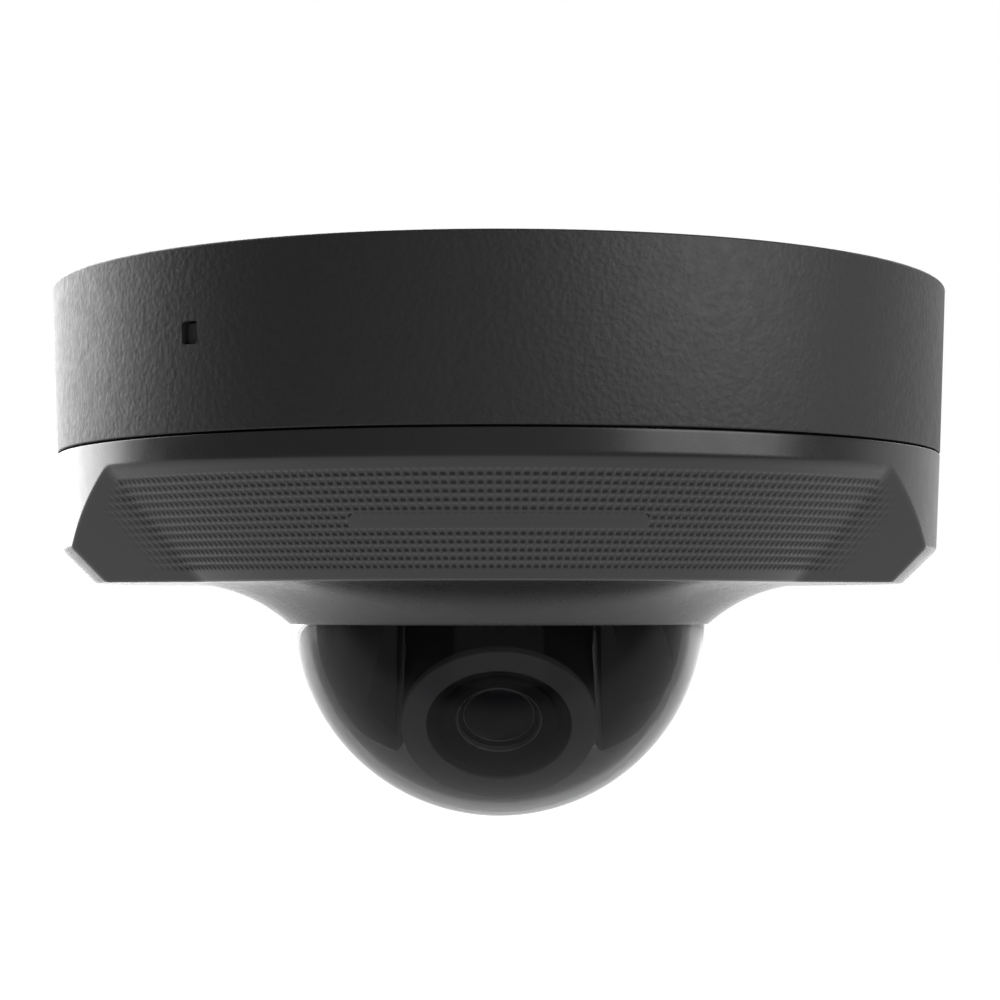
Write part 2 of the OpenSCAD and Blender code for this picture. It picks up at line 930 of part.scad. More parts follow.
module cheek_screws() {
    color("silver")
        for (sx = [-1, 1], sy = [-1, 1])
            translate([sx * cheek_screw_x, sy * cheek_screw_y, 0])
                screw(cheek_screw_r, cheek_head_r, pan_disc_top + seal_play, cheek_head_seat, cheek_screw_tip);
}

// Eye: +z is the optical axis, out of the lens, and the origin is on the tilt pivots
module along_axis() {
    translate([0, 0, -dome_depth - pivot_drop])
        rotate([90 + eye_tilt, 0, 0])
            children();
}

module tube(inner, outer, from_z, to_z) {
    difference() {
        translate([0, 0, from_z])
            cylinder(r = outer, h = to_z - from_z);
        translate([0, 0, from_z - cut])
            cylinder(r = inner, h = to_z - from_z + 2 * cut);
    }
}

module rod(radius, from_z, to_z) {
    translate([0, 0, from_z])
        cylinder(r = radius, h = to_z - from_z);
}

module tilt_carrier() {
    color("#2c2c2c")
        along_axis()
            difference() {
                tube(carrier_inner_r, carrier_outer_r, -carrier_half, carrier_half);
                rotate([0, 90, 0])
                    translate([0, 0, -far / 2])
                        cylinder(r = pivot_r + screw_play, h = far);
            }
}

module tilt_screws() {
    color("silver")
        translate([0, 0, -dome_depth - pivot_drop])
            for (side = [0, 1])
                mirror([side, 0, 0])
                    rotate([0, 90, 0]) {
                        rod(pivot_r, tilt_screw_end, tilt_head_x);
                        rod(tilt_head_r, tilt_head_x, tilt_head_x + tilt_head_t);
                    }
}

module eye_housing() {
    color("#303030")
        along_axis()
            rotate_extrude()
                polygon([
                    [housing_r - housing_wall, housing_rear], [housing_r, housing_rear], [housing_r, shoulder],
                    [eye_r, shoulder], [eye_r, window_back - 0.05], [eye_r - housing_wall, window_back - 0.05],
                    [eye_r - housing_wall, shoulder + housing_wall + 1], [housing_r - housing_wall, shoulder + housing_wall]
                ]);
}

module rear_cap() {
    color("#303030")
        along_axis()
            difference() {
                rod(cap_r, cap_rear, -shoulder);
                rod(carrier_inner_r, housing_rear - gasket_play, 0);
                rod(housing_r - housing_wall, cap_rear + cap_wall, 0);
                translate([0, cap_outlet_y, 0])
                    rod(cap_outlet_r, cap_rear - cut, 0);
            }
}

module front_window() {
    color("#3a3a3a")
        along_axis()
            tube(window_inner_r, eye_r, window_back, eye_reach);
}

module light_baffle() {
    color("#141414")
        along_axis()
            rotate_extrude()
                polygon([
                    [baffle_inner_r, baffle_rear], [baffle_outer_r, baffle_rear], [baffle_outer_r, baffle_front],
                    [baffle_outer_r - baffle_rim, baffle_front], [baffle_inner_r, baffle_low]
                ]);
}

module light_board() {
    color("darkgreen")
        along_axis()
            tube(window_inner_r, eye_r - housing_wall - seal_play, light_board_span[0], light_board_span[1]);
}

module infrared_leds() {
    color("ivory")
        along_axis()
            for (i = [0 : led_count - 1])
                around((i + 0.5) * 360 / led_count, led_ring)
                    rod(led_r, light_board_span[1], led_front);
}

module lens_barrel() {
    throat = thread_r - barrel_wall;
    color("#101010")
        along_axis()
            rotate_extrude()
                polygon([
                    [rim_r, barrel_front - barrel_bevel], [barrel_r - barrel_bevel, barrel_front],
                    [barrel_r, barrel_front - barrel_bevel], [barrel_r, barrel_rear],
                    [thread_r, barrel_rear - barrel_bevel], [thread_r, thread_rear], [throat, thread_rear],
                    [throat, barrel_rear + barrel_bevel], [lens_r + lens_play, barrel_rear + 2 * barrel_bevel],
                    [lens_r + lens_play, lens_seat], [rim_r, lens_seat]
                ]);
}

module lens_ring() {
    color("gray")
        along_axis()
            rotate_extrude()
                polygon([
                    [lens_r - 2.5 * lens_play, rim_rear], [rim_r - gasket_play, rim_rear], [rim_r - gasket_play, rim_front],
                    [lens_r + lens_play, rim_front]
                ]);
}

// Outer lens, with a domed face
module front_lens() {
    color("midnightblue", 0.5)
        along_axis()
            intersection() {
                rod(lens_r, lens_rear, eye_reach);
                translate([0, 0, lens_apex - lens_curve])
                    sphere(r = lens_curve, $fn = 160);
            }
}

module inner_lenses() {
    color("slategray", 0.5)
        along_axis()
            for (span = inner_lens_spans)
                rod(inner_lens_r, span[0], span[1]);
}

module lens_holder() {
    color("#202020")
        along_axis()
            difference() {
                union() {
                    rod(holder_r, holder_span[0], holder_span[1]);
                    rod(thread_r + holder_wall, holder_span[1] - cut, holder_front);
                }
                rod(thread_r + gasket_play, holder_span[1] - 0.2, holder_front + cut);
                rod(aperture_r, holder_span[0] - cut, holder_front + cut);
                translate([-slot_half_w, -slide_half_h - slot_play, slide_span[0] - slot_play])
                    cube([2 * slot_half_w, 2 * (slide_half_h + slot_play), slide_span[1] - slide_span[0] + 2 * slot_play]);
                translate([-sensor_window[0] / 2, -sensor_window[1] / 2, holder_span[0] - cut])
                    cube([sensor_window[0], sensor_window[1], cut + 1]);
                translate([-coil_size[0] / 2 - seal_play, coil_y - seal_play, coil_z - gasket_play])
                    cube([coil_size[0] + 2 * seal_play, coil_size[1] + 2 * seal_play, holder_span[1]]);
            }
}

// Frame that carries one pane for day and one for night in front of the sensor
module filter_slide() {
    color("#909090")
        along_axis()
            difference() {
                translate([slide_x[0], -slide_half_h, slide_span[0]])
                    cube([slide_x[1] - slide_x[0], 2 * slide_half_h, slide_span[1] - slide_span[0]]);
                for (x = [0, -slide_travel])
                    translate([x, 0, 0])
                        rod(pane_r, 0, holder_span[1]);
            }
}

module filter_panes() {
    color("crimson", 0.5)
        along_axis()
            for (x = [0, -slide_travel])
                translate([x, 0, 0])
                    rod(pane_r - gasket_play, slide_span[0] + pane_inset, slide_span[1] - pane_inset);
}

module filter_coil() {
    color("peru")
        along_axis()
            translate([-coil_size[0] / 2, coil_y, coil_z])
                cube(coil_size);
}

module sensor_board() {
    color("darkgreen")
        along_axis()
            translate([-sensor_board_w / 2, -sensor_board_w / 2, sensor_board_rear])
                cube([sensor_board_w, sensor_board_w, sensor_board_t]);
}

module image_sensor() {
    color("#404858")
        along_axis()
            translate([-sensor_size[0] / 2, -sensor_size[1] / 2, sensor_board_rear + sensor_board_t])
                cube(sensor_size);
}

module flex_connector() {
    color("ivory")
        along_axis()
            translate([-flex_size[0] / 2, flex_y, sensor_board_rear - flex_size[2]])
                cube(flex_size);
}

mounting_plate();
cable_grommet();
base_housing();
latch_spring();
body_gasket();
cover();
cover_screws();
dome();
dome_gasket();
dome_retainer();
retainer_screws();
main_board();
board_screws();
network_socket();
socket_contacts();
processor();
thermal_pad();
memory_chips();
power_transformer();
capacitors();
board_connector();
reset_switch();
card_socket();
pan_base();
pan_base_screws();
latch_button();
reset_button();
memory_card();
pan_ring();
pan_retainer();
left_cheek();
right_cheek();
cheek_screws();
tilt_carrier();
tilt_screws();
eye_housing();
rear_cap();
front_window();
light_baffle();
light_board();
infrared_leds();
lens_barrel();
lens_ring();
front_lens();
inner_lenses();
lens_holder();
sensor_board();
image_sensor();
flex_connector();
filter_coil();
filter_slide();
filter_panes();
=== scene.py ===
"""Looks for the ceiling dome camera: moulded shells, smoked dome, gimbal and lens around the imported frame."""
import json
import math

import bmesh
import bpy
from mathutils import Matrix, Vector


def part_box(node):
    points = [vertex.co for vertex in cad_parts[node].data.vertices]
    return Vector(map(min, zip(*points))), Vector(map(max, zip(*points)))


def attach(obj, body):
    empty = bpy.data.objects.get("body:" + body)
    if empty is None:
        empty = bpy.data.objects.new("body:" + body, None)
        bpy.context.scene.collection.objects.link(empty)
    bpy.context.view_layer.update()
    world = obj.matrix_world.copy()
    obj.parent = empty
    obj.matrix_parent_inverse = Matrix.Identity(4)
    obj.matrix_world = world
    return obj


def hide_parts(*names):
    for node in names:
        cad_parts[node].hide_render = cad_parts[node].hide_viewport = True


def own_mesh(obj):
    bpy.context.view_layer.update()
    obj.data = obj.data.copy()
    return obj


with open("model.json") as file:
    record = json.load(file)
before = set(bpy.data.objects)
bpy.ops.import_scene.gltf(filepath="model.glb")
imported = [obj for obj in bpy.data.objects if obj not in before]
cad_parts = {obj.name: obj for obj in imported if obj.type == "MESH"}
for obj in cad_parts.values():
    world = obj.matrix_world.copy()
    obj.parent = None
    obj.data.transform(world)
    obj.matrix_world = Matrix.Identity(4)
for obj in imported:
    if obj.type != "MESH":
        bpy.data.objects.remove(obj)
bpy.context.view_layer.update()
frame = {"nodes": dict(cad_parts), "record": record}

MM = 0.001
# Facets round a lathed shape, from the ring down to the small parts
RING_FACETS = 720
SHELL_FACETS = 360
FORM_FACETS = 256
ROUND = 192
ROD_FACETS = 64
SCREW_FACETS = 32

# Main sizes in millimetres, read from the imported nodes
low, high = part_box("base_housing")
RING_TOP_R = high[0] / MM
RING_LOW_Z = low[2] / MM
low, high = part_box("dome")
DOME_LOW_Z = low[2] / MM
FLANGE_R = high[0] / MM
FLANGE_TOP_Z = high[2] / MM
low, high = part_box("cover")
COVER_LOW_Z = low[2] / MM
SPIGOT_Z = high[2] / MM

# Upper ring
RING_SEAM_R = 61.63
RING_INNER_R = 59.3
DECK_Z = (-14.2, -12.4)
TOOL_HOLE_AZIMUTH = -37
TOOL_HOLE_Z = -10.56
RAIL_TOP_Z = -8.6
COVER_SCREW_ANGLES = (30, 150, 210, 330)
COVER_SCREW_CIRCLE = 53
COVER_SCREW_R = 1.31
BOARD_SCREW_ANGLES = (20, 160, 200, 340)
BOARD_SCREW_CIRCLE = 42

# Cover
SEAM_Z = -22.85
COVER_TOP_R = 61.6
COVER_LOW_R = 61.0
CHAMFER_Z = -35.9
UNDERSIDE_Z = -40.45
UNDERSIDE_R = 56.34
PANEL_TOP_Z = -26.15
PANEL_LOW_R = 47.8
CREASE_AZIMUTH = 53.6
FACET_AZIMUTH = 26.9
COVER_WALL = 2.2
FLARE_START_R = 44.2
FLARE_R = 21.8
OPENING_R = 29.35
SEAT_R = 34.2
SEAT_Z = -41.2
SPIGOT_R = 58.9
DOME_SCREW_ANGLES = (45, 135, 225, 315)
DOME_SCREW_CIRCLE = 37.2
# Rounding of the cover's upper rim and of its lower edge
RIM_FILLET = 0.2
EDGE_FILLET = 0.3

# Dome
DOME_R = 29.13
DOME_WALL = 1.83
DOME_Z = DOME_LOW_Z + DOME_R

# Eye, along the optical axis from the tilt pivots
PIVOT_DROP = 0.6
EYE_TILT = 40
EYE_R = 12.9
EYE_REACH = 23
WINDOW_R = 9.6
LENS_R = 5.65
LENS_CURVE = 13
LENS_APEX = EYE_REACH - 1.2


# Mesh making

def finish_mesh(name, builder, sharp=28):
    """A new object from a bmesh in millimetres, smooth apart from edges sharper than the angle."""
    mesh = bpy.data.meshes.new(name)
    bmesh.ops.scale(builder, vec=(MM, MM, MM), verts=builder.verts)
    bmesh.ops.recalc_face_normals(builder, faces=builder.faces)
    builder.to_mesh(mesh)
    builder.free()
    made = bpy.data.objects.new(name, mesh)
    bpy.context.scene.collection.objects.link(made)
    smooth(made, sharp)
    return made


def smooth(made, sharp=28):
    made.data.shade_smooth()
    made.data.set_sharp_from_angle(angle=math.radians(sharp))


def lathe(name, outline, segments, sharp=28):
    """A solid of revolution about Z from a closed outline of (radius, z), in millimetres."""
    builder = bmesh.new()
    rings = []
    for radius, z in outline:
        if radius < 1e-6:
            rings.append([builder.verts.new((0, 0, z))])
        else:
            turns = [2 * math.pi * i / segments for i in range(segments)]
            rings.append([builder.verts.new((radius * math.cos(t), radius * math.sin(t), z)) for t in turns])
    for here, there in zip(rings, rings[1:] + rings[:1]):
        for i in range(segments):
            j = (i + 1) % segments
            corners = [here[i % len(here)], here[j % len(here)], there[j % len(there)], there[i % len(there)]]
            corners = list(dict.fromkeys(corners))
            if len(corners) > 2:
                builder.faces.new(corners)
    return finish_mesh(name, builder, sharp)


def rounded(corners, steps=6):
    """An outline from corners of (radius, z) or (radius, z, fillet), with each fillet drawn as an arc."""
    outline = []
    count = len(corners)
    for i, corner in enumerate(corners):
        here = Vector(corner[:2])
        fillet = corner[2] if len(corner) > 2 else 0
        if not fillet:
            outline.append(tuple(here))
            continue
        before = (Vector(corners[i - 1][:2]) - here).normalized()
        after = (Vector(corners[(i + 1) % count][:2]) - here).normalized()
        half = before.angle(after) / 2
        centre = here + (before + after).normalized() * fillet / math.sin(half)
        start = (here + before * fillet / math.tan(half) - centre).normalized()
        end = (here + after * fillet / math.tan(half) - centre).normalized()
        for k in range(steps + 1):
            outline.append(tuple(centre + start.slerp(end, k / steps) * fillet))
    return outline


def arc(centre, radius, start, end, steps=24):
    """Points of (radius, z) on an arc between two angles in degrees."""
    angles = [math.radians(start + (end - start) * i / steps) for i in range(steps + 1)]
    return [(centre[0] + radius * math.cos(a), centre[1] + radius * math.sin(a)) for a in angles]


def spread_turn(count):
    """Angles spread evenly round a full turn, in radians."""
    return [2 * math.pi * i / count for i in range(count)]


def block(name, low_corner, high_corner, place=Matrix()):
    """A box between two corners, then moved by a matrix."""
    builder = bmesh.new()
    bmesh.ops.create_cube(builder, size=1)
    size = Vector(high_corner) - Vector(low_corner)
    middle = (Vector(high_corner) + Vector(low_corner)) / 2
    fitted = place @ Matrix.Translation(middle) @ Matrix.Diagonal((*size, 1))
    bmesh.ops.transform(builder, matrix=fitted, verts=builder.verts)
    return finish_mesh(name, builder)


def rod(name, radius, low_z, high_z, place=Matrix(), segments=ROD_FACETS):
    made = lathe(name, [(0, low_z), (radius, low_z), (radius, high_z), (0, high_z)], segments)
    shift(made, place)
    return made


def shift(made, place):
    """Moves a piece's mesh by a matrix given in millimetres."""
    in_metres = place.copy()
    in_metres.translation *= MM
    made.data.transform(in_metres)
    if place.determinant() < 0:
        made.data.flip_normals()


def settle(made):
    """Turns a piece's modifiers into its mesh."""
    graph = bpy.context.evaluated_depsgraph_get()
    graph.update()
    mesh = bpy.data.meshes.new_from_object(made.evaluated_get(graph))
    made.modifiers.clear()
    made.data = mesh


def combine(made, tools, operation="DIFFERENCE"):
    """Cuts, joins or meets a piece with other solids, which are used up."""
    for tool in tools:
        change = made.modifiers.new("combine", "BOOLEAN")
        change.operation = operation
        change.solver = "MANIFOLD"
        change.object = tool
    settle(made)
    for tool in tools:
        bpy.data.objects.remove(tool)
    return made


def turn(angle, axis="Z"):
    return Matrix.Rotation(math.radians(angle), 4, axis)


def move(x, y, z):
    return Matrix.Translation((x, y, z))


def spots(angles, radius):
    """Places on a circle about Z."""
    return [turn(a) @ move(radius, 0, 0) for a in angles]


# Materials

def new_material(name, color, roughness, metallic=0.0, **sockets):
    """A Principled material. Other sockets are given by name with _ for a space."""
    made = bpy.data.materials.new(name)
    made.use_nodes = True
    shader = made.node_tree.nodes["Principled BSDF"]
    shader.inputs["Base Color"].default_value = (*color, 1)
    shader.inputs["Roughness"].default_value = roughness
    shader.inputs["Metallic"].default_value = metallic
    for key, value in sockets.items():
        shader.inputs[key.replace("_", " ")].default_value = value
    return made


class Nodes:
    """Short calls for wiring a material's nodes."""

    def __init__(self, material):
        self.tree = material.node_tree
        self.shader = self.tree.nodes["Principled BSDF"]
        self.place = self.add("ShaderNodeTexCoord").outputs["Object"]

    def add(self, kind, **settings):
        made = self.tree.nodes.new(kind)
        for key, value in settings.items():
            setattr(made, key, value)
        return made

    def link(self, source, target):
        self.tree.links.new(source, target)

    def noise(self, scale, detail=3.0, roughness=0.5, stretch=None):
        made = self.add("ShaderNodeTexNoise")
        made.inputs["Scale"].default_value = scale
        made.inputs["Detail"].default_value = detail
        made.inputs["Roughness"].default_value = roughness
        self.link(self.mapped(stretch), made.inputs["Vector"])
        return made.outputs["Fac"]

    def cells(self, scale, feature="F1", stretch=None):
        made = self.add("ShaderNodeTexVoronoi", feature=feature)
        made.inputs["Scale"].default_value = scale
        self.link(self.mapped(stretch), made.inputs["Vector"])
        return made.outputs["Distance"]

    def mapped(self, stretch):
        if stretch is None:
            return self.place
        made = self.add("ShaderNodeMapping")
        made.inputs["Scale"].default_value = stretch
        self.link(self.place, made.inputs["Vector"])
        return made.outputs["Vector"]

    def spread(self, source, low_value, high_value, from_low=0.3, from_high=0.7):
        made = self.add("ShaderNodeMapRange")
        made.inputs["From Min"].default_value = from_low
        made.inputs["From Max"].default_value = from_high
        made.inputs["To Min"].default_value = low_value
        made.inputs["To Max"].default_value = high_value
        self.link(source, made.inputs["Value"])
        return made.outputs["Result"]

    def maths(self, operation, first, second):
        made = self.add("ShaderNodeMath", operation=operation)
        for source, target in zip((first, second), made.inputs):
            if isinstance(source, (int, float)):
                target.default_value = source
            else:
                self.link(source, target)
        return made.outputs[0]

    def vary_color(self, source, first, second):
        made = self.add("ShaderNodeMix", data_type="RGBA")
        made.inputs[6].default_value = (*first, 1)
        made.inputs[7].default_value = (*second, 1)
        self.link(source, made.inputs[0])
        self.link(made.outputs[2], self.shader.inputs["Base Color"])

    def vary_roughness(self, source):
        self.link(source, self.shader.inputs["Roughness"])

    def bump(self, height, distance, strength=1.0, edge=None):
        """Relief from a height, over edges softened by a small radius."""
        made = self.add("ShaderNodeBump")
        made.inputs["Strength"].default_value = strength
        made.inputs["Distance"].default_value = distance
        self.link(height, made.inputs["Height"])
        if edge:
            bevel = self.add("ShaderNodeBevel", samples=4)
            bevel.inputs["Radius"].default_value = edge
            self.link(bevel.outputs["Normal"], made.inputs["Normal"])
        self.link(made.outputs["Normal"], self.shader.inputs["Normal"])


def leather_plastic():
    """Near-black moulded plastic with a fine leather grain."""
    made = new_material("ring_plastic", (0.0125, 0.0125, 0.013), 0.5)
    n = Nodes(made)
    grain = n.maths("ADD", n.cells(1500, "SMOOTH_F1"), n.maths("MULTIPLY", n.noise(3200, 4, 0.6), 0.7))
    n.vary_color(n.noise(900, 2), (0.0115, 0.0115, 0.012), (0.0145, 0.0145, 0.015))
    n.vary_roughness(n.spread(n.noise(700, 3), 0.47, 0.55))
    n.bump(grain, 0.00010, 0.55)
    return made


def moulded_plastic(name, color, roughness, grain=2600, depth=0.00002, edge=None, spread=0.05):
    """Smooth moulded plastic with a faint grain and slightly uneven gloss."""
    made = new_material(name, color, roughness)
    n = Nodes(made)
    n.vary_color(n.noise(180, 3), [c * 0.93 for c in color], [c * 1.08 for c in color])
    n.vary_roughness(n.spread(n.noise(420, 3), roughness - spread, roughness + spread))
    n.bump(n.noise(grain, 3, 0.6), depth, 0.5, edge)
    return made


def smoked_glass():
    """Smoked clear plastic that lets lamps through to what is inside."""
    made = new_material("smoked_dome", (0.15, 0.15, 0.153), 0.02, IOR=1.2, Transmission_Weight=1.0)
    n = Nodes(made)
    n.vary_roughness(n.spread(n.noise(60, 2), 0.012, 0.03))
    clear = n.add("ShaderNodeBsdfTransparent")
    clear.inputs["Color"].default_value = (0.88, 0.88, 0.89, 1)
    rays = n.add("ShaderNodeLightPath")
    mixed = n.add("ShaderNodeMixShader")
    n.link(rays.outputs["Is Shadow Ray"], mixed.inputs["Fac"])
    n.link(n.shader.outputs["BSDF"], mixed.inputs[1])
    n.link(clear.outputs["BSDF"], mixed.inputs[2])
    n.link(mixed.outputs["Shader"], n.tree.nodes["Material Output"].inputs["Surface"])
    return made


def turned_metal(name, color, roughness, metallic=1.0, stretch=(1, 1, 1), depth=0.000008):
    """Metal or anodised metal with fine tool marks."""
    made = new_material(name, color, roughness, metallic)
    n = Nodes(made)
    n.vary_color(n.noise(260, 3), [c * 0.92 for c in color], [min(c * 1.06, 1) for c in color])
    n.vary_roughness(n.spread(n.noise(900, 4), roughness * 0.85, roughness * 1.2))
    n.bump(n.noise(4200, 4, 0.6, stretch), depth, 0.5)
    return made


def lens_glass():
    """Front glass with the dim violet cast of its coating."""
    coating = {"Coat_Weight": 1.0, "Coat_Roughness": 0.02}
    made = new_material("lens_glass", (0.012, 0.012, 0.016), 0.03, IOR=1.6, **coating)
    n = Nodes(made)
    n.vary_color(n.noise(400, 2), (0.010, 0.010, 0.014), (0.015, 0.014, 0.02))
    n.vary_roughness(n.spread(n.noise(300, 2), 0.02, 0.05))
    return made


def circuit_board():
    """Green solder mask with the faint lines of the copper below."""
    made = new_material("circuit_board", (0.01, 0.08, 0.035), 0.35)
    n = Nodes(made)
    lines = n.cells(420, "F1", (1, 1, 0.2))
    n.vary_color(n.spread(lines, 0, 1, 0.2, 0.5), (0.008, 0.065, 0.028), (0.016, 0.11, 0.05))
    n.vary_roughness(n.spread(n.noise(500, 3), 0.3, 0.42))
    n.bump(lines, 0.00003, 0.4)
    return made


MATERIALS = {
    "ring_plastic": leather_plastic(),
    "cover_plastic": moulded_plastic(
        "cover_plastic", (0.0125, 0.0125, 0.013), 0.28, 700, 0.000004, spread=0.02,
    ),
    "smoked_dome": smoked_glass(),
    "gimbal_plastic": moulded_plastic("gimbal_plastic", (0.08, 0.08, 0.082), 0.4, 2200, 0.00002),
    "eye_plastic": moulded_plastic("eye_plastic", (0.02, 0.02, 0.021), 0.42),
    # The window plate's grey is lightened far past its real near-black. This is painted light that makes up for
    # the light the smoked dome holds back.
    "window_plastic": moulded_plastic("window_plastic", (0.2, 0.2, 0.204), 0.4, 2600, 0.00001),
    "black_metal": turned_metal("black_metal", (0.02, 0.02, 0.021), 0.35, 0.4),
    "bright_ring": turned_metal("bright_ring", (0.8, 0.8, 0.81), 0.3),
    "lens_glass": lens_glass(),
    "rubber": moulded_plastic("rubber", (0.012, 0.012, 0.012), 0.62, 1800, 0.00003),
    "plate_metal": moulded_plastic("plate_metal", (0.12, 0.12, 0.125), 0.5, 900, 0.00006, 0.0002),
    "screw_steel": turned_metal("screw_steel", (0.55, 0.55, 0.56), 0.3),
    "spring_steel": turned_metal("spring_steel", (0.5, 0.5, 0.5), 0.28),
    "circuit_board": circuit_board(),
    "chip_plastic": moulded_plastic("chip_plastic", (0.02, 0.02, 0.02), 0.5, 1500),
    "thermal_pad": moulded_plastic("thermal_pad", (0.25, 0.42, 0.55), 0.7, 900, 0.00005),
    "socket_metal": turned_metal("socket_metal", (0.6, 0.6, 0.6), 0.25),
    "contact_gold": turned_metal("contact_gold", (0.75, 0.52, 0.2), 0.25),
    "white_plastic": moulded_plastic("white_plastic", (0.7, 0.68, 0.6), 0.4),
    "coil_copper": turned_metal("coil_copper", (0.6, 0.24, 0.1), 0.3, 1.0, (1, 1, 12)),
    "capacitor_can": turned_metal("capacitor_can", (0.5, 0.5, 0.5), 0.3),
    "filter_glass": moulded_plastic("filter_glass", (0.3, 0.08, 0.08), 0.1),
}
SLOT_OF = {s["node"]: s["material_slot"] for s in frame["record"]["subparts"]}


def dress(made, node, body="root"):
    """Gives a detailed piece its node's material, body and place in the record."""
    made.data.materials.clear()
    made.data.materials.append(MATERIALS[SLOT_OF[node]])
    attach(made, body)
    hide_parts(node)
    return made


def dress_frame():
    """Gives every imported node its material."""
    for name, node in frame["nodes"].items():
        node.data.materials.clear()
        node.data.materials.append(MATERIALS[SLOT_OF[name]])


# Upper ring

def make_ring():
    outline = rounded([
        (0, DECK_Z[1]), (RING_INNER_R, DECK_Z[1]), (RING_INNER_R, 0, 0.2), (RING_TOP_R, 0, 0.35),
        (RING_SEAM_R, RING_LOW_Z, 0.22), (RING_INNER_R, RING_LOW_Z), (RING_INNER_R, DECK_Z[0]),
        (0, DECK_Z[0]),
    ])
    ring = lathe("ring_shell", outline, RING_FACETS)
    at_latch = turn(TOOL_HOLE_AZIMUTH - 90)
    rooted_z, rail_half = DECK_Z[1] - 0.5, 0.75
    rails = []
    for rail_y in (-3.45, 3.45):
        low, high = (47.5, rail_y - rail_half, rooted_z), (58.6, rail_y + rail_half, RAIL_TOP_Z)
        rails.append(block("rail", low, high, at_latch))
    post = block("post", (44.4, -2.5, rooted_z), (46, 2.5, RAIL_TOP_Z), at_latch)
    board_spots = spots(BOARD_SCREW_ANGLES, BOARD_SCREW_CIRCLE)
    bosses = [rod("boss", 3, -15.6, DECK_Z[0] + 0.5, p) for p in board_spots]
    combine(ring, [*rails, post, *bosses, *bayonet_tabs()], "UNION")
    hole = tool_hole(at_latch)
    below, above = DECK_Z[0] - 1, DECK_Z[1] + 1
    window = block("window", (-8.3, 21.7, below), (8.3, 38.3, above))
    cover_spots = spots(COVER_SCREW_ANGLES, COVER_SCREW_CIRCLE)
    screws = [rod("screw", COVER_SCREW_R, below, above, p, SCREW_FACETS) for p in cover_spots]
    pilots = [rod("pilot", 1.01, -16, DECK_Z[1] - 0.8, p, SCREW_FACETS) for p in board_spots]
    combine(ring, [hole, window, *screws, *pilots])
    smooth(ring, 25)
    return dress(ring, "base_housing")


def sector(name, inner, outer, low_z, high_z, middle, half):
    """A stretch of a ring about Z."""
    count = 24
    builder = bmesh.new()
    angles = [math.radians(middle - half + 2 * half * k / count) for k in range(count + 1)]
    rows = [
        [builder.verts.new((r * math.cos(a), r * math.sin(a), z)) for r, z in
         ((inner, low_z), (outer, low_z), (outer, high_z), (inner, high_z))]
        for a in angles
    ]
    for here, there in zip(rows, rows[1:]):
        for k in range(4):
            m = (k + 1) % 4
            builder.faces.new([here[k], here[m], there[m], there[k]])
    builder.faces.new(rows[0][::-1])
    builder.faces.new(rows[-1])
    return finish_mesh(name, builder)


def bayonet_tabs():
    """Three tabs inside the ring, which the mounting plate's hooks hold."""
    return [sector("tab", 55, RING_INNER_R + 0.5, -4.3, -2.6, a, 12) for a in (60, 180, 300)]


def tool_hole(at_latch):
    """A rounded square prism through the ring's wall."""
    half_w, half_h, corner, steps = 1.3, 1.4, 0.5, 6
    outline = []
    for quarter, (sy, sz) in enumerate(((1, 1), (-1, 1), (-1, -1), (1, -1))):
        for k in range(steps + 1):
            a = math.radians(90 * quarter + 90 * k / steps)
            y = sy * (half_w - corner) + corner * math.cos(a)
            z = sz * (half_h - corner) + corner * math.sin(a)
            outline.append((y, z))
    builder = bmesh.new()
    ends = [[builder.verts.new((x, y, z + TOOL_HOLE_Z)) for y, z in outline] for x in (57, 64)]
    count = len(outline)
    for k in range(count):
        m = (k + 1) % count
        builder.faces.new([ends[0][k], ends[0][m], ends[1][m], ends[1][k]])
    builder.faces.new(ends[0])
    builder.faces.new(ends[1])
    bmesh.ops.transform(builder, matrix=at_latch, verts=builder.verts)
    return finish_mesh("hole", builder)


# Latch spring

def make_spring():
    """The coil spring behind the latch, which on the real camera shortens as the latch is pushed in; here it
    stays at its resting length.
    """
    wire_r, coil_r, turns, steps, sides = 0.3, 1.5, 5, 24, 10
    first, last, travel = 46.4, 50.6, 2.5
    middle_z = (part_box("latch_spring")[0][2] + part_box("latch_spring")[1][2]) / 2 / MM
    place = turn(TOOL_HOLE_AZIMUTH - 90) @ move(0, 0, middle_z)
    builder = bmesh.new()
    rings = []
    for i in range(turns * steps + 1):
        a = 2 * math.pi * i / steps
        ring = []
        for b in spread_turn(sides):
            reach = coil_r + wire_r * math.cos(b)
            along = first + (last - first) * i / (turns * steps) + wire_r * math.sin(b)
            point = Vector((along, reach * math.cos(a), reach * math.sin(a)))
            ring.append(builder.verts.new(place @ point))
        rings.append(ring)
    for here, there in zip(rings, rings[1:]):
        for j in range(sides):
            k = (j + 1) % sides
            builder.faces.new((here[j], here[k], there[k], there[j]))
    builder.faces.new(rings[0])
    builder.faces.new(rings[-1])
    made = dress(finish_mesh("coil_spring", builder), "latch_spring")
    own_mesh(made)


# Cover

# Pattern of the front panel
ROWS = 12
ROW_TOP_Z = -27.5
ROW_PITCH = 0.966
COLUMN_PITCH = 1.04
COLUMNS = 50
FACET_COLUMN = 0.95
POCKET_DEPTH = 0.2
FADE_REACH = 6.5
# A plain bar in the pattern: half length, half height and its middle
BAR_LENGTH = 17.5
BAR_HALF = 0.75
BAR_Z = ROW_TOP_Z - 6 * ROW_PITCH


def soft_step(value, start, end):
    """0 before the start and 1 past the end, with a smooth rise between them."""
    t = min(max((value - start) / (end - start), 0), 1)
    return t * t * (3 - 2 * t)


def soft_min(first, second, reach):
    """The smaller of two values, with the corner between them rounded."""
    h = max(reach - abs(first - second), 0) / reach
    return min(first, second) - h * h * reach / 4


